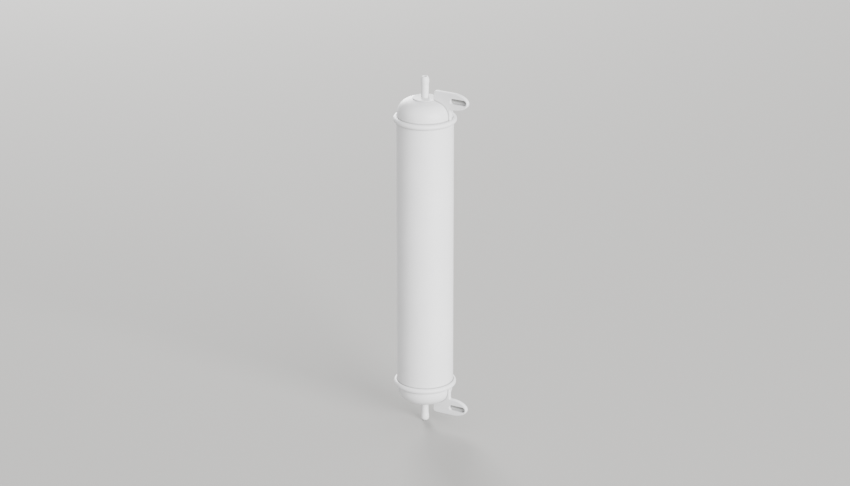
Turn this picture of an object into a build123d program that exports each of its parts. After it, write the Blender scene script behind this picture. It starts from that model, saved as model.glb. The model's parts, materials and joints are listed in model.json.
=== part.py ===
# Capsule filter: a sealed in-line water filter in a round housing, hung by a slotted ear at each end.
# Lengths are millimetres. +Z runs along the capsule from the inlet stem to the outlet stem, and both ears
# point along +X. The origin is the centre of the inlet stem's mouth.

import os
from math import acos, atan2, cos, degrees, pi, sin, sqrt

from build123d import *

# Housing tube
tube_diameter = 60.0
tube_wall = 2.5
collar_pitch = 295.0  # between the middles of the two collar beads

# End cap. Its heights are measured outwards from the middle of the collar bead.
cap_wall = 2.5
collar_overhang = 3.2  # how far the bead stands out from the tube
bead_radius = 2.85
lip_gap = 0.3
lip_gap_depth = 1.0
tube_seat_height = 1.0
fit_clearance = 0.15
dome_inset = 0.75  # dome wall inside the tube's outer face
shoulder_radius = 14.7
crown_radius = 59.0
crown_height = 23.4
disc_margin = 16.45  # between the disc's rim and the dome's wall
disc_height = 0.9
disc_chamfer = 0.3

# Hose stem on the cap's disc
stem_diameter = 8.0
stem_bore = 4.5
foot_bore = 5.5
foot_bore_rise = 1.5
stem_length = 22.9
stem_foot_radius = 0.7
bulge_diameter = 8.8
bulge_land = 2.0
bulge_taper = 2.5
tip_length = 4.0
tip_diameter = 6.0

# Ear and the web that braces it. The slot is a recess that a thin skin closes at the back.
ear_thickness = 4.6
ear_lap = 1.5  # how far the ear starts inside the disc's rim
ear_overhang = 22.3  # beyond the dome's wall
ear_rise = 9.4  # above the crown's top
ear_depth = 18.1
ear_nose_length = 17.0
ear_corner_radius = 3.2
ear_edge_radius = 1.0
web_overhang = 1.65
web_corner_radius = 1.5
slot_length = 19.0
slot_width = 6.0
slot_end_wall = 1.7
slot_lift = 0.45  # above the ear's middle
slot_skin = 0.8
slot_rim_chamfer = 0.3

# Skirt of the cap inside the tube, and its O-ring
skirt_length = 11.0
skirt_wall = 2.7
skirt_chamfer = 0.8
tube_seal_height = -5.5
tube_seal_depth = 1.5
tube_seal_width = 2.2
seal_clearance = 0.03
seal_corner = 0.4
groove_side_clearance = 0.2

# Socket in the cap that takes the cartridge
socket_bore = 17.0
socket_wall = 2.2
socket_end_height = 5.0

# Cartridge end discs and resin
end_disc_gap = 3.2  # ring of water between the cartridge and the tube
end_plate = 2.5
end_rim = 3.5
rim_wall = 0.9
register_wall = 1.2
spigot_clearance = 0.2
spigot_length = 13.0
spigot_bore = 10.0
spigot_seal_heights = (8.0, 13.0)
spigot_seal_depth = 1.4
spigot_seal_width = 2.0
spigot_chamfer = 0.8
resin_depth = 3.0

# Fins on the blind end
fin_count = 4
fin_thickness = 2.4
fin_foot_diameter = 25.0
fin_foot_height = 4.0
fin_nose_length = 11.0
fin_nose_chamfer = 1.5

# Cage and core
cage_wall = 1.2
cage_columns = 6
cage_rows = 4
cage_window_arc = 40.0
cage_window_share = 0.72
core_diameter = 18.0
core_wall = 1.5
core_columns = 4
core_rows = 5
core_window_arc = 42.0
core_window_share = 0.6
window_overcut = 2.0
sleeve_clearance = 0.1

# Pleated layers, from the outside in
pleat_names = ("upstream_fleece", "prefilter_layer", "membrane", "downstream_fleece")
pleat_count = 16
pleat_layer = 0.28
pleat_gap = 0.03
pleat_fold_radius = 0.85
pleat_clearance = 0.25

# Worked-out sizes of the cap
tube_radius = tube_diameter / 2
tube_bore_radius = tube_radius - tube_wall
bead_centre = tube_radius + collar_overhang - bead_radius
dome_radius = tube_radius - dome_inset
disc_radius = dome_radius - disc_margin
stem_radius = stem_diameter / 2
crown_centre = crown_height - crown_radius
shoulder_centre_radius = dome_radius - shoulder_radius
shoulder_height = crown_centre + sqrt((crown_radius - shoulder_radius) ** 2 - shoulder_centre_radius**2)
disc_foot_height = crown_centre + sqrt(crown_radius**2 - disc_radius**2)
disc_top_height = disc_foot_height + disc_height
tip_height = disc_top_height + stem_length
skirt_radius = tube_bore_radius - fit_clearance
skirt_bore_radius = skirt_radius - skirt_wall
skirt_end_height = tube_seat_height - skirt_length
socket_radius = socket_bore / 2
inlet_collar_z = tip_height
outlet_collar_z = inlet_collar_z + collar_pitch
capsule_length = outlet_collar_z + tip_height
ear_start = disc_radius - ear_lap
ear_top_height = crown_height + ear_rise
ear_bottom_height = ear_top_height - ear_depth
ear_reach = dome_radius + ear_overhang
web_reach = dome_radius + web_overhang
slot_middle_x = ear_reach - slot_end_wall - slot_length / 2
slot_middle_height = ear_top_height - ear_depth / 2 + slot_lift

# Worked-out sizes of the cartridge
spigot_radius = socket_radius - spigot_clearance
end_disc_radius = tube_bore_radius - end_disc_gap
cage_radius = end_disc_radius - rim_wall - sleeve_clearance
core_radius = core_diameter / 2
register_radius = core_radius - core_wall - sleeve_clearance
outlet_face_z = outlet_collar_z + socket_end_height
outlet_floor_z = outlet_face_z - end_plate
inlet_face_z = inlet_collar_z - socket_end_height + fin_foot_height
inlet_floor_z = inlet_face_z + end_plate
middle_z = (outlet_floor_z + inlet_floor_z) / 2


def dome_join(wall):
    # Where the shoulder arc runs into the crown arc, on a surface lying one wall inside the dome.
    lean = atan2(shoulder_height - crown_centre, shoulder_centre_radius)
    radius = crown_radius - wall
    return (radius * cos(lean), crown_centre + radius * sin(lean))


def cap_outer_profile():
    # Half of the cap's outer outline, filled to the axis: collar bead, dome, disc and hose stem.
    land_end = tip_height - tip_length
    land_start = land_end - bulge_land
    bulge_radius = bulge_diameter / 2
    Line((0, -bead_radius), (bead_centre, -bead_radius))
    ThreePointArc((bead_centre, -bead_radius), (bead_centre + bead_radius, 0), (bead_centre, bead_radius))
    Line((bead_centre, bead_radius), (dome_radius, bead_radius))
    wall = Line((dome_radius, bead_radius), (dome_radius, shoulder_height))
    shoulder = TangentArc(wall @ 1, dome_join(0), tangent=wall % 1)
    TangentArc(shoulder @ 1, (disc_radius, disc_foot_height), tangent=shoulder % 1)
    Line((disc_radius, disc_foot_height), (disc_radius, disc_top_height))
    Line((disc_radius, disc_top_height), (stem_radius, disc_top_height))
    Line((stem_radius, disc_top_height), (stem_radius, land_start - bulge_taper))
    Line((stem_radius, land_start - bulge_taper), (bulge_radius, land_start))
    land = Line((bulge_radius, land_start), (bulge_radius, land_end))
    tip = TangentArc(land @ 1, (tip_diameter / 2, tip_height), tangent=land % 1)
    Polyline(tip @ 1, (0, tip_height), (0, -bead_radius))


def cap_cavity_profile():
    # Half of the hollow inside the cap: tube socket at the mouth, skirt bore, then two cones under the dome.
    below = -2 * bead_radius
    socket_mouth = tube_radius + fit_clearance
    inner_radius = dome_radius - cap_wall
    gap_radius = socket_mouth + lip_gap
    gap_floor = lip_gap_depth - bead_radius
    Polyline(
        (0, below),
        (gap_radius, below),
        (gap_radius, gap_floor),
        (socket_mouth, gap_floor + lip_gap),
        (socket_mouth, tube_seat_height),
        (skirt_bore_radius, tube_seat_height),
        (skirt_bore_radius, bead_radius),
        (inner_radius, shoulder_height),
        dome_join(cap_wall),
        (0, crown_height - cap_wall),
        (0, below),
    )


def ear_profile():
    # The ear with its elliptical nose, and the web that runs down the dome to the collar.
    nose_centre = (ear_reach - ear_nose_length, ear_top_height - ear_depth / 2)
    Polyline(
        (nose_centre[0], ear_bottom_height),
        (web_reach, ear_bottom_height),
        (web_reach, 0),
        (web_reach - cap_wall, 0),
        (ear_start, disc_foot_height - cap_wall),
        (ear_start, ear_top_height),
        (nose_centre[0], ear_top_height),
    )
    EllipticalCenterArc(nose_centre, ear_nose_length, ear_depth / 2, start_angle=-90, arc_size=180)


def is_ear_rim(edge):
    # True for the ear's edges that show; those buried in the dome's wall stay sharp.
    centre = edge.center()
    return centre.X > web_reach - cap_wall / 4 or centre.Z > ear_bottom_height


def groove_ring(outer_radius, depth, width, height):
    # A rectangular section for an O-ring groove cut inwards from a round surface.
    with Locations((outer_radius - depth / 2, height)):
        Rectangle(depth, width)


def seal_section(outer_radius, depth, width, height):
    # An O-ring squeezed between its groove and the bore outside it.
    with Locations((outer_radius - depth / 2, height)):
        section = Rectangle(depth - 2 * seal_clearance, width)
    chamfer(section.vertices(), seal_corner)


def build_cap():
    with BuildPart() as cap:
        with BuildSketch(Plane.XZ):
            with BuildLine():
                cap_outer_profile()
            make_face()
        revolve(axis=Axis.Z)
        disc_rim = cap.edges().filter_by(GeomType.CIRCLE).filter_by_position(Axis.Z, disc_top_height, disc_top_height)
        chamfer(disc_rim.sort_by(SortBy.RADIUS)[-1], disc_chamfer)
        stem_foot = cap.edges().filter_by(GeomType.CIRCLE).filter_by_position(Axis.Z, disc_top_height, disc_top_height)
        fillet(stem_foot.sort_by(SortBy.RADIUS)[0], stem_foot_radius)

        # The ear and web are made apart, so that their edges can be rounded before they join the dome.
        with BuildPart(mode=Mode.PRIVATE) as ear:
            with BuildSketch(Plane.XZ) as ear_sketch:
                with BuildLine():
                    ear_profile()
                make_face()
                outer_corner = ear_sketch.vertices().sort_by_distance((ear_start, ear_top_height))[0]
                fillet(outer_corner, ear_corner_radius)
                web_corner = ear_sketch.vertices().sort_by_distance((web_reach, ear_bottom_height))[0]
                fillet(web_corner, web_corner_radius)
            extrude(amount=ear_thickness / 2, both=True)
            fillet(ear.faces().filter_by(Axis.Y).edges().filter_by(is_ear_rim), ear_edge_radius)
            with BuildSketch(Plane.XZ.offset(ear_thickness / 2)):
                with Locations((slot_middle_x, slot_middle_height)):
                    SlotOverall(slot_length, slot_width)
            extrude(amount=slot_skin - ear_thickness, mode=Mode.SUBTRACT)
            front = ear.faces().filter_by(Axis.Y).sort_by(Axis.Y)[0]
            chamfer(front.inner_wires().edges(), slot_rim_chamfer)
        add(ear.part)

        with BuildSketch(Plane.XZ):
            with BuildLine():
                cap_cavity_profile()
            make_face()
        revolve(axis=Axis.Z, mode=Mode.SUBTRACT)

        # Skirt with its O-ring groove
        with BuildSketch(Plane.XZ) as skirt:
            with Locations(((skirt_radius + skirt_bore_radius) / 2, (skirt_end_height + bead_radius) / 2)):
                Rectangle(skirt_wall, bead_radius - skirt_end_height)
            lead_in = skirt.vertices().sort_by_distance((skirt_radius, skirt_end_height))[0]
            chamfer(lead_in, skirt_chamfer)
            with Locations((skirt_radius - tube_seal_depth / 2, tube_seal_height)):
                Rectangle(tube_seal_depth, tube_seal_width + 2 * groove_side_clearance, mode=Mode.SUBTRACT)
        revolve(axis=Axis.Z)

        # Socket for the cartridge, joined to the underside of the crown
        with BuildSketch(Plane.XY.offset(socket_end_height)):
            Circle(socket_radius + socket_wall)
            Circle(socket_radius, mode=Mode.SUBTRACT)
        extrude(until=Until.NEXT)

        # The stem's bore opens into a wider one just above the disc.
        with Locations((0, 0, tip_height)):
            Hole(stem_bore / 2, depth=tip_height)
        with Locations((0, 0, disc_top_height + foot_bore_rise)):
            Cylinder(foot_bore / 2, disc_top_height, align=(Align.CENTER, Align.CENTER, Align.MAX), mode=Mode.SUBTRACT)
    return cap.part


cap_moulding = build_cap()

with BuildPart() as outlet_cap:
    with Locations((0, 0, outlet_collar_z)):
        add(cap_moulding)

# The other end is the mirror image, so that both slots open towards -Y.
mirrored_moulding = mirror(cap_moulding, about=Plane.XY)
with BuildPart() as inlet_cap:
    with Locations((0, 0, inlet_collar_z)):
        add(mirrored_moulding)

with BuildPart() as housing_tube:
    tube_length = collar_pitch + 2 * tube_seat_height
    with BuildSketch(Plane.XY.offset(inlet_collar_z - tube_seat_height)):
        Circle(tube_radius)
        Circle(tube_bore_radius, mode=Mode.SUBTRACT)
    extrude(amount=tube_length)


def build_tube_seal(collar_z, outward):
    # The O-ring in a cap's skirt; outward is +1 at the outlet and -1 at the inlet.
    with BuildPart() as seal:
        with BuildSketch(Plane.XZ):
            depth = tube_seal_depth + fit_clearance
            seal_section(tube_bore_radius, depth, tube_seal_width, collar_z + outward * tube_seal_height)
        revolve(axis=Axis.Z)
    return seal


outlet_tube_seal = build_tube_seal(outlet_collar_z, 1)
inlet_tube_seal = build_tube_seal(inlet_collar_z, -1)


def build_end_cup(face_z, inward):
    # An end disc's plate, rim and core register; inward is the direction of the cartridge's middle.
    floor = face_z + inward * end_plate
    with BuildPart() as cup:
        with BuildSketch(Plane.XY.offset(min(face_z, floor))):
            Circle(end_disc_radius)
        extrude(amount=end_plate)
        with BuildSketch(Plane.XY.offset(min(floor, floor + inward * end_rim))):
            Circle(end_disc_radius)
            Circle(end_disc_radius - rim_wall, mode=Mode.SUBTRACT)
            Circle(register_radius)
            Circle(register_radius - register_wall, mode=Mode.SUBTRACT)
        extrude(amount=end_rim)
    return cup.part


with BuildPart() as open_end_disc:
    add(build_end_cup(outlet_face_z, -1))
    with BuildSketch(Plane.XY.offset(outlet_face_z)):
        Circle(spigot_radius)
    extrude(amount=spigot_length)
    spigot_tip = open_end_disc.edges().filter_by(GeomType.CIRCLE).sort_by(Axis.Z)[-1]
    chamfer(spigot_tip, spigot_chamfer)
    with BuildSketch(Plane.XZ):
        for seal_height in spigot_seal_heights:
            groove_width = spigot_seal_width + 2 * groove_side_clearance
            groove_ring(spigot_radius, spigot_seal_depth, groove_width, outlet_collar_z + seal_height)
    revolve(axis=Axis.Z, mode=Mode.SUBTRACT)
    with Locations((0, 0, outlet_face_z + spigot_length)):
        Hole(spigot_bore / 2)


def build_spigot_seal(height):
    with BuildPart() as seal:
        with BuildSketch(Plane.XZ):
            depth = spigot_seal_depth + spigot_clearance
            seal_section(socket_radius, depth, spigot_seal_width, outlet_collar_z + height)
        revolve(axis=Axis.Z)
    return seal


spigot_seal_lower = build_spigot_seal(spigot_seal_heights[0])
spigot_seal_upper = build_spigot_seal(spigot_seal_heights[1])

with BuildPart() as closed_end_disc:
    add(build_end_cup(inlet_face_z, 1))
    # Crossed fins: a wide foot that the cap's socket rests on, and a nose that centres in the socket.
    with BuildSketch(Plane.XZ) as fin:
        with Locations((0, inlet_face_z)):
            Rectangle(fin_foot_diameter, fin_foot_height, align=(Align.CENTER, Align.MAX))
            Rectangle(2 * spigot_radius, fin_foot_height + fin_nose_length, align=(Align.CENTER, Align.MAX))
        chamfer(fin.vertices().group_by(Axis.Y)[0], fin_nose_chamfer)
    fin_blade = extrude(amount=fin_thickness / 2, both=True, mode=Mode.PRIVATE)
    with PolarLocations(0, fin_count // 2, start_angle=45, angular_range=180):
        add(fin_blade)


def build_resin(floor_z, inward):
    with BuildPart() as resin:
        with BuildSketch(Plane.XY.offset(min(floor_z, floor_z + inward * resin_depth))):
            Circle(cage_radius - cage_wall - sleeve_clearance)
            Circle(core_radius + sleeve_clearance, mode=Mode.SUBTRACT)
        extrude(amount=resin_depth)
    return resin


open_end_potting = build_resin(outlet_floor_z, -1)
closed_end_potting = build_resin(inlet_floor_z, 1)


def build_sleeve(bottom, top, radius, wall, columns, rows, window_arc, window_share):
    # A round sleeve with rows of windows, as moulded for a cage or a core.
    pitch = (top - bottom) / rows
    with BuildPart() as sleeve:
        with BuildSketch(Plane.XY.offset(bottom)):
            Circle(radius)
            Circle(radius - wall, mode=Mode.SUBTRACT)
        extrude(amount=top - bottom)
        window = (2 * (wall + window_overcut), 2 * radius * sin(window_arc / 2 * pi / 180), pitch * window_share)
        for row in range(rows):
            with Locations((0, 0, bottom + (row + 0.5) * pitch)):
                with PolarLocations(radius, columns):
                    Box(*window, mode=Mode.SUBTRACT)
    return sleeve


cage_form = (cage_radius, cage_wall, cage_columns, cage_rows, cage_window_arc, cage_window_share)
cage_lower = build_sleeve(inlet_floor_z, middle_z, *cage_form)
cage_upper = build_sleeve(middle_z, outlet_floor_z, *cage_form)
core_form = (core_radius, core_wall, core_columns, core_rows, core_window_arc, core_window_share)
core_lower = build_sleeve(inlet_floor_z, middle_z, *core_form)
core_upper = build_sleeve(middle_z, outlet_floor_z, *core_form)


def pleat_outline(shift):
    # One surface of the pleated pack, moved outwards by shift from the pack's middle surface.
    half_pack = len(pleat_names) * (pleat_layer + pleat_gap) / 2
    outer_fold = Vector(cage_radius - cage_wall - pleat_clearance - pleat_fold_radius - half_pack, 0)
    inner_fold = Vector(core_radius + pleat_clearance + pleat_fold_radius + half_pack, 0)
    half_pitch = 180 / pleat_count
    inner_fold = inner_fold.rotate(Axis.Z, half_pitch)
    outer_radius = pleat_fold_radius + shift
    inner_radius = pleat_fold_radius - shift
    between = inner_fold - outer_fold
    lean = degrees(acos((outer_radius + inner_radius) / between.length))
    side = between.normalized().rotate(Axis.Z, -lean)
    leg_start = outer_fold + side * outer_radius
    leg_end = inner_fold - side * inner_radius
    inner_mid = inner_fold - inner_fold.normalized() * inner_radius
    outer_mid = outer_fold + Vector(outer_radius, 0)
    mirrored_start = Vector(leg_start.X, -leg_start.Y)
    # Each fold is two straight facets that meet at its crest.
    fold_points = []
    for pleat in range(pleat_count):
        turn = 2 * half_pitch * pleat
        fold_points += [point.rotate(Axis.Z, turn) for point in (mirrored_start, outer_mid, leg_start, leg_end, inner_mid)]
        fold_points.append(Vector(leg_end.X, -leg_end.Y).rotate(Axis.Z, turn + 2 * half_pitch))
    Polyline(*fold_points, close=True)


def build_pleated_layer(index):
    pitch = pleat_layer + pleat_gap
    outer_shift = (len(pleat_names) / 2 - index) * pitch
    bottom = inlet_floor_z + resin_depth
    with BuildPart() as layer:
        with BuildSketch(Plane.XY.offset(bottom)):
            with BuildLine():
                pleat_outline(outer_shift)
            make_face()
            with BuildLine():
                pleat_outline(outer_shift - pleat_layer)
            make_face(mode=Mode.SUBTRACT)
        extrude(amount=outlet_floor_z - resin_depth - bottom)
    return layer


pieces = {
    "housing_tube": housing_tube,
    "outlet_cap": outlet_cap,
    "inlet_cap": inlet_cap,
    "outlet_tube_seal": outlet_tube_seal,
    "inlet_tube_seal": inlet_tube_seal,
    "open_end_disc": open_end_disc,
    "closed_end_disc": closed_end_disc,
    "spigot_seal_upper": spigot_seal_upper,
    "spigot_seal_lower": spigot_seal_lower,
    "open_end_potting": open_end_potting,
    "closed_end_potting": closed_end_potting,
    "cage_upper": cage_upper,
    "cage_lower": cage_lower,
    "core_upper": core_upper,
    "core_lower": core_lower,
}
for index, name in enumerate(pleat_names):
    pieces[name] = build_pleated_layer(index)

os.makedirs("parts", exist_ok=True)
for name, piece in pieces.items():
    piece.part.label = name
    export_step(piece.part, f"parts/{name}.step")

print("inlet collar z", round(inlet_collar_z, 3), "outlet collar z", round(outlet_collar_z, 3))
print("capsule length", round(capsule_length, 3), "disc top height", round(disc_top_height, 3))
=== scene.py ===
# Looks of the capsule filter. Lengths are metres. The origin is the mouth of the inlet stem, +Z
# runs up the capsule, and both ears point along +X.
import json
import math

import bpy
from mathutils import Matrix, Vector


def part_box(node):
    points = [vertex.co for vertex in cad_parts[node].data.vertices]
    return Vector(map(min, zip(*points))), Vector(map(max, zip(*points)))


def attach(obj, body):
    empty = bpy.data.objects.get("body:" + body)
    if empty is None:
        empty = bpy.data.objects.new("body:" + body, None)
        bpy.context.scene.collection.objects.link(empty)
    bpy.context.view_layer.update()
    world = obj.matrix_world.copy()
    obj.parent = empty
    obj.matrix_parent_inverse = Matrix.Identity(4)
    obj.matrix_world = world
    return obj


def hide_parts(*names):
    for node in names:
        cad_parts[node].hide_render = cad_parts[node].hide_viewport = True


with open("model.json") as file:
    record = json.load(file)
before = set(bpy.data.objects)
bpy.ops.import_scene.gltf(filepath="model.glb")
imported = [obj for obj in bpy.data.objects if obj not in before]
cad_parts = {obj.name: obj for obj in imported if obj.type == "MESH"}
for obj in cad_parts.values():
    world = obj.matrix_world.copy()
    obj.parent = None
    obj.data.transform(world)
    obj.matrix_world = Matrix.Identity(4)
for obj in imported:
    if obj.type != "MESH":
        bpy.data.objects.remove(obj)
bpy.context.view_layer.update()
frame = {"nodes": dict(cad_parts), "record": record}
nodes = frame["nodes"]
print("frame loaded:", len(nodes), "CAD nodes")


def hexColour(text):
    # sRGB hex to the linear values that shaders take
    parts = [int(text[i : i + 2], 16) / 255 for i in (1, 3, 5)]
    linear = [p / 12.92 if p <= 0.04045 else ((p + 0.055) / 1.055) ** 2.4 for p in parts]
    return (*linear, 1.0)


def addNode(tree, kind, inputs=None, links=None, stops=None, **settings):
    # one node with its settings, its input values, the sockets that feed it and a ramp's colours
    node = tree.nodes.new(kind)
    for name, value in settings.items():
        setattr(node, name, value)
    for name, value in (inputs or {}).items():
        node.inputs[name].default_value = value
    for name, socket in (links or {}).items():
        tree.links.new(socket, node.inputs[name])
    for index, (place, colour) in enumerate((stops or {}).items()):
        node.color_ramp.elements[index].position = place
        node.color_ramp.elements[index].color = hexColour(colour)
    return node


def newMaterial(name):
    material = bpy.data.materials.new(name)
    material.use_nodes = True
    material.node_tree.nodes.clear()
    return material, material.node_tree


def finishMaterial(tree, shader, bump):
    tree.links.new(bump.outputs["Normal"], shader.inputs["Normal"])
    addNode(tree, "ShaderNodeOutputMaterial", links={"Surface": shader.outputs["BSDF"]})


def dress(names, material):
    # CAD nodes whose shape is right only get their material
    for name in names:
        mesh = nodes[name].data
        mesh.materials.clear()
        mesh.materials.append(material)


def standOff(thing, s):
    # places the camera or a softbox round the capsule, turned to look at a point on its axis.
    # Azimuth runs in degrees from the front, -Y, towards the ears.
    az, el = math.radians(s["azimuth"]), math.radians(s["elevation"])
    away = Vector((math.sin(az) * math.cos(el), -math.cos(az) * math.cos(el), math.sin(el)))
    target = Vector((0, 0, s["targetZ"]))
    thing.location = target + away * s["distance"]
    thing.rotation_euler = (target - thing.location).to_track_quat("-Z", "Y").to_euler()
    bpy.context.scene.collection.objects.link(thing)


# the photograph's angle: 30 degrees from the front towards the ears and about 21 degrees up
camera = {
    "azimuth": 30.0,
    "elevation": 20.904,
    "distance": 3.2723,
    "targetZ": 0.202612,
    "lens": 131.9,  # millimetres, as is the sensor's width
    "sensor": 36.0,
    "clipEnd": 20.0,
}


def placeCamera(c):
    eye = bpy.data.objects.new("Camera", bpy.data.cameras.new("Camera"))
    eye.data.sensor_width = c["sensor"]
    eye.data.lens = c["lens"]
    eye.data.clip_end = c["clipEnd"]
    standOff(eye, c)
    bpy.context.scene.camera = eye


placeCamera(camera)
print("camera placed")

slotMiddles = [
    Vector(mount["pos_m"])
    for mount in frame["record"]["mounts"]
    if mount["name"].endswith("_ear_slot")
]
# painted shade on the slots' floors, a grey veil standing in for their shadow, placed by the
# record's mounts
slotPaintedShade = {
    "slotX": slotMiddles[0].x,
    "faceY": slotMiddles[0].y,  # the ear's front
    "middleZ": (slotMiddles[0].z + slotMiddles[1].z) / 2,
    "slotRise": abs(slotMiddles[0].z - slotMiddles[1].z) / 2,
    "reach": (0.0098, 0.0033),  # half of a slot's length and width, with a hair to spare
    "depth": (0.0024, 0.0036),  # below the face: a slot's walls stay unshaded and its floor takes the painted shade
    "fade": (-0.0026, 0.0003),  # from a slot's middle line: thin at the lower wall, then full
    "thin": 0.25,
    "unshadedSkin": 0.0002,  # both faces of the ear stay free of it
}


def paintSlotShade(tree, place, v):
    # painted shade: 0 outside the two slots and 1 on the upper part of each slot's floor, where
    # the slot's walls cast their shadow. The slots lie equally far above and below the capsule's
    # middle.
    axes = addNode(tree, "ShaderNodeSeparateXYZ", links={"Vector": place}).outputs
    zero = {1: v["middleZ"]}
    above = addNode(tree, "ShaderNodeMath", zero, {0: axes["Z"]}, operation="SUBTRACT").outputs[0]
    half = addNode(tree, "ShaderNodeMath", links={0: above}, operation="SIGN").outputs[0]
    slot = {1: -v["slotRise"]}
    terms = {0: half, 2: above}
    rise = addNode(tree, "ShaderNodeMath", slot, terms, operation="MULTIPLY_ADD").outputs[0]
    shallow, deep = (v["faceY"] + d for d in v["depth"])
    ends = {"From Min": shallow, "From Max": deep}
    paintedShade = addNode(tree, "ShaderNodeMapRange", ends, {"Value": axes["Y"]}).outputs["Result"]
    low, high = v["fade"]
    ends = {"From Min": low, "From Max": high, "To Min": v["thin"]}
    fade = addNode(tree, "ShaderNodeMapRange", ends, {"Value": rise}).outputs["Result"]
    both = {0: paintedShade, 1: fade}
    paintedShade = addNode(tree, "ShaderNodeMath", links=both, operation="MULTIPLY").outputs[0]
    halfLength, halfWidth = v["reach"]
    halfPlate = -v["faceY"] - v["unshadedSkin"]
    windows = (
        (axes["X"], v["slotX"], halfLength),
        (rise, 0.0, halfWidth),
        (axes["Y"], 0.0, halfPlate),
    )
    for axis, middle, reach in windows:
        window = {1: middle, 2: reach}
        inside = addNode(tree, "ShaderNodeMath", window, {0: axis}, operation="COMPARE").outputs[0]
        both = {0: paintedShade, 1: inside}
        paintedShade = addNode(tree, "ShaderNodeMath", links=both, operation="MULTIPLY").outputs[0]
    return paintedShade


# What the caps and the tube share: the white plastic, and the painted shade in its inside corners
# and slots. Here and below, a pattern's scale counts its features in a metre, so 1400 is 0.7 mm.
# One that is too fine to show is drawn coarser, and the note beside it gives the real size.
whitePlastic = {
    "colours": {0.3: "#d9d9da", 0.7: "#dededf"},  # each at its place along the clouds' values
    "shader": {"IOR": 1.49},
    # painted shade: the grey mixed in where shade falls in slots and inside corners
    "paintedShadeColour": "#7b7b79",
    "crease": {"Distance": 0.0015},  # the painted shade in an inside corner fades out over this width
    "creaseSamples": 8,
    "creaseShare": {"From Min": 1.0, "From Max": 0.5, "To Max": 0.75},  # open to deep corner
}


def paintCreaseShade(tree, f):
    # painted shade: 0 on open surfaces, rising in inside corners and joint gaps, where shade falls
    crease = addNode(tree, "ShaderNodeAmbientOcclusion", f["crease"], samples=f["creaseSamples"])
    openness = {"Value": crease.outputs["AO"]}
    return addNode(tree, "ShaderNodeMapRange", f["creaseShare"], openness).outputs["Result"]


capFinish = {
    **whitePlastic,
    "grain": {"Scale": 1400.0, "Detail": 3.0, "Roughness": 0.6},  # 0.7 mm, real 0.1 mm
    "cloud": {"Scale": 28.0, "Detail": 2.0},  # flow marks 35 mm across
    "relief": {"Strength": 0.5, "Distance": 0.00003},
    "polish": {"To Min": 0.44, "To Max": 0.54},
}


def makeCapPlastic(f):
    # White polypropylene, injection moulded in a finely spark-eroded tool: an even satin skin that
    # spreads a reflection wide, faintly milky where the melt flowed, with painted shade, a grey
    # veil, on the slots' floors and in inside corners.
    material, tree = newMaterial("MouldedPolypropylene")
    place = addNode(tree, "ShaderNodeTexCoord").outputs["Object"]
    grain = addNode(tree, "ShaderNodeTexNoise", f["grain"], {"Vector": place}).outputs["Fac"]
    cloud = addNode(tree, "ShaderNodeTexNoise", f["cloud"], {"Vector": place}).outputs["Fac"]
    unshaded = addNode(tree, "ShaderNodeValToRGB", links={"Fac": cloud}, stops=f["colours"])
    # painted shade: the larger of the slots' painted shadow and the inside corners' painted shade
    paintedShades = {0: paintSlotShade(tree, place, slotPaintedShade), 1: paintCreaseShade(tree, f)}
    paintedShade = addNode(tree, "ShaderNodeMath", links=paintedShades, operation="MAXIMUM").outputs["Value"]
    layers = {"Fac": paintedShade, "Color1": unshaded.outputs["Color"]}
    tone = addNode(tree, "ShaderNodeMixRGB", {"Color2": hexColour(f["paintedShadeColour"])}, layers)
    polish = addNode(tree, "ShaderNodeMapRange", f["polish"], {"Value": grain})
    bump = addNode(tree, "ShaderNodeBump", f["relief"], {"Height": grain})
    looks = {"Base Color": tone.outputs["Color"], "Roughness": polish.outputs["Result"]}
    shader = addNode(tree, "ShaderNodeBsdfPrincipled", f["shader"], looks)
    finishMaterial(tree, shader, bump)
    return material


tubeFinish = {
    **whitePlastic,
    "drawn": {"Scale": (1.0, 1.0, 0.012)},  # draws the lines out to 90 mm along the tube
    "lines": {"Scale": 900.0, "Detail": 2.0},  # 1.1 mm apart round the tube, real 0.03 mm
    "cloud": {"Scale": 22.0, "Detail": 2.0},  # patches 45 mm across
    "relief": {"Strength": 0.4, "Distance": 0.00001},
    "polish": {"To Min": 0.4, "To Max": 0.5},
}


def makeTubePlastic(f):
    # White polypropylene, extruded through a round die: smoother than the caps, with the faintest
    # lengthwise draw lines, which soften the reflection sideways.
    material, tree = newMaterial("ExtrudedPolypropylene")
    place = addNode(tree, "ShaderNodeTexCoord").outputs["Object"]
    drawn = addNode(tree, "ShaderNodeMapping", f["drawn"], {"Vector": place}).outputs["Vector"]
    lines = addNode(tree, "ShaderNodeTexNoise", f["lines"], {"Vector": drawn}).outputs["Fac"]
    cloud = addNode(tree, "ShaderNodeTexNoise", f["cloud"], {"Vector": place}).outputs["Fac"]
    unshaded = addNode(tree, "ShaderNodeValToRGB", links={"Fac": cloud}, stops=f["colours"])
    # painted shade in inside corners and in the joint gaps at the caps' lips
    layers = {"Fac": paintCreaseShade(tree, f), "Color1": unshaded.outputs["Color"]}
    tone = addNode(tree, "ShaderNodeMixRGB", {"Color2": hexColour(f["paintedShadeColour"])}, layers)
    polish = addNode(tree, "ShaderNodeMapRange", f["polish"], {"Value": lines})
    bump = addNode(tree, "ShaderNodeBump", f["relief"], {"Height": lines})
    looks = {"Base Color": tone.outputs["Color"], "Roughness": polish.outputs["Result"]}
    shader = addNode(tree, "ShaderNodeBsdfPrincipled", f["shader"], looks)
    finishMaterial(tree, shader, bump)
    return material


dress(("outlet_cap", "inlet_cap"), makeCapPlastic(capFinish))
dress(("housing_tube",), makeTubePlastic(tubeFinish))
print("housing dressed")

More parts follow.
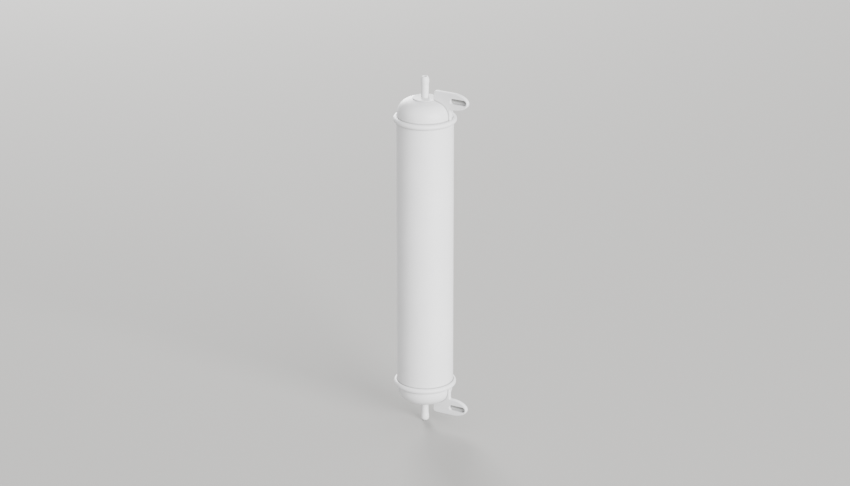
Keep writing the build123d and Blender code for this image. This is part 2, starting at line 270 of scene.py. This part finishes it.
cartridgeFinish = {
    "colours": {0.3: "#cfd2cf", 0.7: "#dadcd9"},
    "cloud": {"Scale": 60.0, "Detail": 4.0},  # milky patches 17 mm across
    "speck": {"Scale": 2600.0, "Detail": 2.0},  # the tool's grain, 0.4 mm, real 0.1 mm
    "relief": {"Strength": 0.4, "Distance": 0.00002},
    "polish": {"To Min": 0.3, "To Max": 0.42},
    "shader": {"IOR": 1.49, "Subsurface Weight": 0.15, "Subsurface Scale": 0.0012},
}


def makeCartridgePlastic(f):
    # Natural polypropylene, moulded without pigment: milky and slightly grey, shinier than the
    # housing, and a little light passes through its thin ribs.
    material, tree = newMaterial("NaturalPolypropylene")
    place = addNode(tree, "ShaderNodeTexCoord").outputs["Object"]
    cloud = addNode(tree, "ShaderNodeTexNoise", f["cloud"], {"Vector": place}).outputs["Fac"]
    speck = addNode(tree, "ShaderNodeTexNoise", f["speck"], {"Vector": place}).outputs["Fac"]
    tone = addNode(tree, "ShaderNodeValToRGB", links={"Fac": cloud}, stops=f["colours"])
    polish = addNode(tree, "ShaderNodeMapRange", f["polish"], {"Value": cloud})
    bump = addNode(tree, "ShaderNodeBump", f["relief"], {"Height": speck})
    looks = {"Base Color": tone.outputs["Color"], "Roughness": polish.outputs["Result"]}
    shader = addNode(tree, "ShaderNodeBsdfPrincipled", f["shader"], looks)
    finishMaterial(tree, shader, bump)
    return material


dress(
    ("open_end_disc", "closed_end_disc", "cage_upper", "cage_lower", "core_upper", "core_lower"),
    makeCartridgePlastic(cartridgeFinish),
)

resinFinish = {
    "colours": {0.3: "#c9bb93", 0.7: "#d8cba6"},
    "cloud": {"Scale": 90.0, "Detail": 3.0},  # streaks of the mixed resin 11 mm across
    "bubbles": {"Scale": 450.0},  # 2.2 mm apart, real 0.5 mm
    "pits": {"From Min": 0.05, "From Max": 0.2},  # from the middle of a bubble to its rim
    "relief": {"Strength": 0.6, "Distance": 0.00015},
    "shader": {"IOR": 1.5, "Roughness": 0.16, "Coat Weight": 0.3, "Coat Roughness": 0.08},
}


def makePottingResin(f):
    # Cast polyurethane resin: honey cream, set with a glossy skin and a few trapped bubbles.
    material, tree = newMaterial("CastPolyurethane")
    place = addNode(tree, "ShaderNodeTexCoord").outputs["Object"]
    cloud = addNode(tree, "ShaderNodeTexNoise", f["cloud"], {"Vector": place}).outputs["Fac"]
    tone = addNode(tree, "ShaderNodeValToRGB", links={"Fac": cloud}, stops=f["colours"])
    bubbles = addNode(tree, "ShaderNodeTexVoronoi", f["bubbles"], {"Vector": place})
    pits = addNode(tree, "ShaderNodeMapRange", f["pits"], {"Value": bubbles.outputs["Distance"]})
    bump = addNode(tree, "ShaderNodeBump", f["relief"], {"Height": pits.outputs["Result"]})
    looks = {"Base Color": tone.outputs["Color"]}
    shader = addNode(tree, "ShaderNodeBsdfPrincipled", f["shader"], looks)
    finishMaterial(tree, shader, bump)
    return material


dress(("open_end_potting", "closed_end_potting"), makePottingResin(resinFinish))
print("cartridge dressed")


def newShapeTree(name, sizes):
    # an empty geometry tree with one named input for each size and one for the material
    tree = bpy.data.node_groups.new(name, "GeometryNodeTree")
    tree.interface.new_socket("Geometry", in_out="OUTPUT", socket_type="NodeSocketGeometry")
    for label, value in sizes.items():
        kind = "NodeSocketInt" if isinstance(value, int) else "NodeSocketFloat"
        tree.interface.new_socket(label, in_out="INPUT", socket_type=kind)
    tree.interface.new_socket("Material", in_out="INPUT", socket_type="NodeSocketMaterial")
    return tree, addNode(tree, "NodeGroupInput").outputs


def endShapeTree(tree, shape, height, material):
    # lifts the shape to its height, makes it plain mesh and gives it its material
    lift = addNode(tree, "ShaderNodeCombineXYZ", links={"Z": height})
    move = {"Geometry": shape, "Translation": lift.outputs["Vector"]}
    seated = addNode(tree, "GeometryNodeTransform", links=move).outputs["Geometry"]
    plain = addNode(tree, "GeometryNodeRealizeInstances", links={"Geometry": seated})
    cover = {"Geometry": plain.outputs["Geometry"], "Material": material}
    surfaced = addNode(tree, "GeometryNodeSetMaterial", links=cover)
    addNode(tree, "NodeGroupOutput", links={"Geometry": surfaced.outputs["Geometry"]})


def growPiece(node, tree, sizes, material):
    # runs the tree and keeps the result as the plain mesh of a piece that stands for the CAD node
    piece = bpy.data.objects.new(node + "_shaped", bpy.data.meshes.new(node + "_shaped"))
    bpy.context.scene.collection.objects.link(piece)
    modifier = piece.modifiers.new("shape", "NODES")
    modifier.node_group = tree
    wanted = {**sizes, "Material": material}
    for item in tree.interface.items_tree:
        if item.in_out == "INPUT":
            modifier[item.identifier] = wanted[item.name]
    shaped = piece.evaluated_get(bpy.context.evaluated_depsgraph_get())
    mesh = bpy.data.meshes.new_from_object(shaped)
    piece.modifiers.remove(modifier)
    mesh.materials.clear()  # a tree may leave an empty slot before the material
    mesh.materials.append(material)
    piece.data = mesh
    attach(piece, "root")
    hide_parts(node)


pleatPack = {
    "pleats": 16,
    "crestCentre": 0.02038,  # from the axis to the middle of an outer fold
    "valleyCentre": 0.01072,
    "foldRadius": 0.00085,  # of the pack's middle surface
    "sheet": 0.00028,
    "pitch": 0.00031,  # from one sheet to the next
    "foldSteps": 8,
    "weld": 1e-7,  # joins the foot and the walls, whose points lie on each other
    "layers": {  # from the outside in, each with its finish
        "upstream_fleece": "SpunbondPolypropylene",
        "prefilter_layer": "MeltblownPolypropylene",
        "membrane": "CastPolyethersulfone",
        "downstream_fleece": "SpunbondPolypropylene",
    },
}


def foldSizes(p, face, shift):
    # radii of the star whose rounded corners are one face of a sheet, shifted outwards
    halfPitch = math.pi / p["pleats"]
    crest, valley, fold = p["crestCentre"], p["valleyCentre"], p["foldRadius"]
    along, across = crest - valley * math.cos(halfPitch), valley * math.sin(halfPitch)
    slope = math.atan2(across, along) - math.asin(2 * fold / math.hypot(along, across))
    return {
        face + " crest": crest + (fold + shift) / math.sin(slope),
        face + " valley": valley - (fold - shift) / math.sin(halfPitch + slope),
        face + " crest fold": fold + shift,
        face + " valley fold": fold - shift,
    }


def layerSizes(p, index, node):
    low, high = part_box(node)
    shift = (len(p["layers"]) / 2 - index) * p["pitch"]
    return {
        "Pleats": p["pleats"],
        "Fold steps": p["foldSteps"],
        "Bottom": low[2],
        "Length": high[2] - low[2],
        "Weld": p["weld"],
        **foldSizes(p, "Outer", shift),
        **foldSizes(p, "Inner", shift - p["sheet"]),
    }


def makePleatTree(sizes):
    # Each face of the sheet is a star with rounded corners. The ring between two of them is drawn
    # up to the sheet's length.
    tree, given = newShapeTree("pleatedSheet", sizes)
    outlines = addNode(tree, "GeometryNodeJoinGeometry")
    for face in ("Inner", "Outer"):
        radii = {
            "Points": given["Pleats"],
            "Outer Radius": given[face + " crest"],
            "Inner Radius": given[face + " valley"],
        }
        star = addNode(tree, "GeometryNodeCurveStar", {"Twist": 0.0}, radii)
        folds = {
            "Switch": star.outputs["Outer Points"],
            "True": given[face + " crest fold"],
            "False": given[face + " valley fold"],
        }
        radius = addNode(tree, "GeometryNodeSwitch", links=folds, input_type="FLOAT")
        rounding = {
            "Curve": star.outputs["Curve"],
            "Radius": radius.outputs["Output"],
            "Count": given["Fold steps"],
        }
        corners = addNode(tree, "GeometryNodeFilletCurve", links=rounding, mode="POLY")
        tree.links.new(corners.outputs["Curve"], outlines.inputs["Geometry"])
    outline = {"Curve": outlines.outputs["Geometry"]}
    ring = addNode(tree, "GeometryNodeFillCurve", links=outline, mode="TRIANGLES").outputs["Mesh"]
    rise = addNode(tree, "ShaderNodeCombineXYZ", links={"Z": given["Length"]})
    pull = {"Mesh": ring, "Offset": rise.outputs["Vector"]}
    drawn = addNode(tree, "GeometryNodeExtrudeMesh", {"Individual": False}, pull)
    walls = {"Geometry": drawn.outputs["Mesh"], "Selection": drawn.outputs["Side"]}
    smooth = addNode(tree, "GeometryNodeSetShadeSmooth", links=walls)
    foot = addNode(tree, "GeometryNodeFlipFaces", links={"Mesh": ring})
    closed = addNode(tree, "GeometryNodeJoinGeometry")
    for half in (smooth.outputs["Geometry"], foot.outputs["Mesh"]):
        tree.links.new(half, closed.inputs["Geometry"])
    meeting = {"Geometry": closed.outputs["Geometry"], "Distance": given["Weld"]}
    joined = addNode(tree, "GeometryNodeMergeByDistance", links=meeting)
    endShapeTree(tree, joined.outputs["Geometry"], given["Bottom"], given["Material"])
    return tree


sheetRelief = {
    "pressed": {"From Min": 0.15, "From Max": 0.4},  # from the middle of a dot to its rim
    "dotShare": {1: 0.5},  # how deep the dots go, beside the threads
}
sheetFinishes = {
    # thermally point-bonded filaments: matt and fluffy, dotted with pressed bond points
    "SpunbondPolypropylene": {
        **sheetRelief,
        "colours": {0.3: "#d3d3cf", 0.7: "#e4e4e1"},
        "threads": {"Scale": 3000.0, "Detail": 3.0, "Distortion": 1.5},  # 0.3 mm, real 0.02 mm
        "dots": {"Scale": 900.0},  # bond points about 1.1 mm apart
        "relief": {"Strength": 0.8, "Distance": 0.00006},
        "shader": {"IOR": 1.5, "Roughness": 0.92, "Sheen Weight": 0.35, "Sheen Roughness": 0.5},
    },
    # microfibres blown into a mat: softer and more even than the spunbond
    "MeltblownPolypropylene": {
        **sheetRelief,
        "colours": {0.3: "#dcdcd9", 0.7: "#e8e8e5"},
        "threads": {"Scale": 4200.0, "Detail": 3.0, "Distortion": 1.5},  # 0.24 mm, real 0.003 mm
        "dots": {"Scale": 300.0},  # cloudy thick and thin spots 3 mm apart
        "relief": {"Strength": 0.8, "Distance": 0.00003},
        "shader": {"IOR": 1.5, "Roughness": 0.95, "Sheen Weight": 0.2, "Sheen Roughness": 0.5},
    },
    # cast polymer film: smooth, chalk white and faintly silky, its pores far too fine to see
    "CastPolyethersulfone": {
        **sheetRelief,
        "colours": {0.3: "#e6e6e4", 0.7: "#ececea"},
        "threads": {"Scale": 6000.0, "Detail": 3.0, "Distortion": 1.5},  # 0.17 mm, real 0.001 mm
        "dots": {"Scale": 150.0},  # a slight waviness 7 mm across
        "relief": {"Strength": 0.8, "Distance": 0.00001},
        "shader": {"IOR": 1.5, "Roughness": 0.7, "Sheen Weight": 0.05, "Sheen Roughness": 0.5},
    },
}


def makeSheetMaterial(name, f):
    material, tree = newMaterial(name)
    place = addNode(tree, "ShaderNodeTexCoord").outputs["Object"]
    threads = addNode(tree, "ShaderNodeTexNoise", f["threads"], {"Vector": place}).outputs["Fac"]
    dots = addNode(tree, "ShaderNodeTexVoronoi", f["dots"], {"Vector": place}).outputs["Distance"]
    pressed = addNode(tree, "ShaderNodeMapRange", f["pressed"], {"Value": dots})
    terms = {0: pressed.outputs["Result"], 2: threads}
    fluff = addNode(tree, "ShaderNodeMath", f["dotShare"], terms, operation="MULTIPLY_ADD")
    tone = addNode(tree, "ShaderNodeValToRGB", links={"Fac": threads}, stops=f["colours"])
    bump = addNode(tree, "ShaderNodeBump", f["relief"], {"Height": fluff.outputs["Value"]})
    looks = {"Base Color": tone.outputs["Color"]}
    shader = addNode(tree, "ShaderNodeBsdfPrincipled", f["shader"], looks)
    finishMaterial(tree, shader, bump)
    return material


sheetMaterials = {name: makeSheetMaterial(name, f) for name, f in sheetFinishes.items()}
pleatTree = makePleatTree(layerSizes(pleatPack, 0, "upstream_fleece"))
for index, (layer, finish) in enumerate(pleatPack["layers"].items()):
    growPiece(layer, pleatTree, layerSizes(pleatPack, index, layer), sheetMaterials[finish])
print("pleated sheets made")

sealRings = {
    "depths": {
        "outlet_tube_seal": 0.00159,
        "inlet_tube_seal": 0.00159,
        "spigot_seal_upper": 0.00154,
        "spigot_seal_lower": 0.00154,
    },
    "roundShare": 0.46,  # corner radius as a share of the squeezed section's depth
    "turnSteps": 128,
    "cornerSteps": 6,
}


def sealSizes(s, node):
    low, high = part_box(node)
    depth = s["depths"][node]
    return {
        "Ring radius": high[0] - depth / 2,
        "Section depth": depth,
        "Section width": high[2] - low[2],
        "Corner radius": depth * s["roundShare"],
        "Height": (low[2] + high[2]) / 2,
        "Turn steps": s["turnSteps"],
        "Corner steps": s["cornerSteps"],
    }


def makeSealTree(sizes):
    # a ring swept with an O-ring's round section, flattened where it presses on groove and bore
    tree, given = newShapeTree("squeezedRing", sizes)
    circle = {"Resolution": given["Turn steps"], "Radius": given["Ring radius"]}
    turn = addNode(tree, "GeometryNodeCurvePrimitiveCircle", links=circle).outputs["Curve"]
    sides = {"Width": given["Section depth"], "Height": given["Section width"]}
    section = addNode(tree, "GeometryNodeCurvePrimitiveQuadrilateral", links=sides)
    rounding = {
        "Curve": section.outputs["Curve"],
        "Radius": given["Corner radius"],
        "Count": given["Corner steps"],
    }
    rounded = addNode(tree, "GeometryNodeFilletCurve", links=rounding, mode="POLY")
    sweep = {"Curve": turn, "Profile Curve": rounded.outputs["Curve"]}
    swept = addNode(tree, "GeometryNodeCurveToMesh", links=sweep).outputs["Mesh"]
    smooth = addNode(tree, "GeometryNodeSetShadeSmooth", links={"Geometry": swept})
    endShapeTree(tree, smooth.outputs["Geometry"], given["Height"], given["Material"])
    return tree


rubberFinish = {
    "colours": {0.3: "#1b1b1c", 0.7: "#29292a"},
    "bloom": {"Scale": 220.0, "Detail": 3.0},  # patches 4.5 mm across
    "speck": {"Scale": 1800.0, "Detail": 2.0},  # talc and filler, 0.55 mm, real 0.05 mm
    "relief": {"Strength": 0.5, "Distance": 0.00002},
    "polish": {"To Min": 0.5, "To Max": 0.68},
    "shader": {"IOR": 1.52},
}


def makeSealRubber(f):
    # Compression-moulded EPDM rubber: black and dull, with a faint grey bloom.
    material, tree = newMaterial("MouldedEpdm")
    place = addNode(tree, "ShaderNodeTexCoord").outputs["Object"]
    bloom = addNode(tree, "ShaderNodeTexNoise", f["bloom"], {"Vector": place}).outputs["Fac"]
    speck = addNode(tree, "ShaderNodeTexNoise", f["speck"], {"Vector": place}).outputs["Fac"]
    tone = addNode(tree, "ShaderNodeValToRGB", links={"Fac": bloom}, stops=f["colours"])
    polish = addNode(tree, "ShaderNodeMapRange", f["polish"], {"Value": speck})
    bump = addNode(tree, "ShaderNodeBump", f["relief"], {"Height": speck})
    looks = {"Base Color": tone.outputs["Color"], "Roughness": polish.outputs["Result"]}
    shader = addNode(tree, "ShaderNodeBsdfPrincipled", f["shader"], looks)
    finishMaterial(tree, shader, bump)
    return material


sealRubber = makeSealRubber(rubberFinish)
sealTree = makeSealTree(sealSizes(sealRings, "outlet_tube_seal"))
for seal in sealRings["depths"]:
    growPiece(seal, sealTree, sealSizes(sealRings, seal), sealRubber)
print("seals made")

studio = {
    "floorColour": "#9b9a98",
    "floorHalf": 6.0,
    "fibre": {"Scale": 900.0},  # 1.1 mm, real 0.03 mm
    "relief": {"Strength": 0.05, "Distance": 0.0002},
    "paper": {"Roughness": 0.9, "Specular IOR Level": 0.2},
    "worldColour": "#ffffff",
    "worldStrength": 1.3,
    "softboxes": {  # power in watts
        "key": {
            "power": 462.0,
            "side": 2.4,
            "distance": 4.0,
            "azimuth": 67.0,
            "elevation": 15.0,
            "targetZ": 0.2,
        },
        "back": {
            "power": 320.0,
            "side": 1.5,
            "distance": 4.0,
            "azimuth": 222.0,
            "elevation": 14.0,
            "targetZ": 0.2,
        },
    },
}


def makeFloor(s):
    mesh = bpy.data.meshes.new("floor")
    h = s["floorHalf"]
    mesh.from_pydata([(-h, -h, 0), (h, -h, 0), (h, h, 0), (-h, h, 0)], [], [(0, 1, 2, 3)])
    floor = bpy.data.objects.new("floor", mesh)
    bpy.context.scene.collection.objects.link(floor)
    material, tree = newMaterial("StudioPaper")  # matt background paper, plain and pale
    place = addNode(tree, "ShaderNodeTexCoord").outputs["Object"]
    fibre = addNode(tree, "ShaderNodeTexNoise", s["fibre"], {"Vector": place}).outputs["Fac"]
    bump = addNode(tree, "ShaderNodeBump", s["relief"], {"Height": fibre})
    values = {"Base Color": hexColour(s["floorColour"]), **s["paper"]}
    finishMaterial(tree, addNode(tree, "ShaderNodeBsdfPrincipled", values), bump)
    mesh.materials.append(material)


def lightStudio(s):
    world = bpy.data.worlds.new("studio")
    world.use_nodes = True
    sky = world.node_tree.nodes["Background"].inputs
    sky["Color"].default_value = hexColour(s["worldColour"])
    sky["Strength"].default_value = s["worldStrength"]
    bpy.context.scene.world = world
    for name, box in s["softboxes"].items():
        light = bpy.data.lights.new(name, "AREA")
        light.energy = box["power"]
        light.size = box["side"]
        standOff(bpy.data.objects.new(name, light), box)


makeFloor(studio)
lightStudio(studio)
print("floor and light ready")
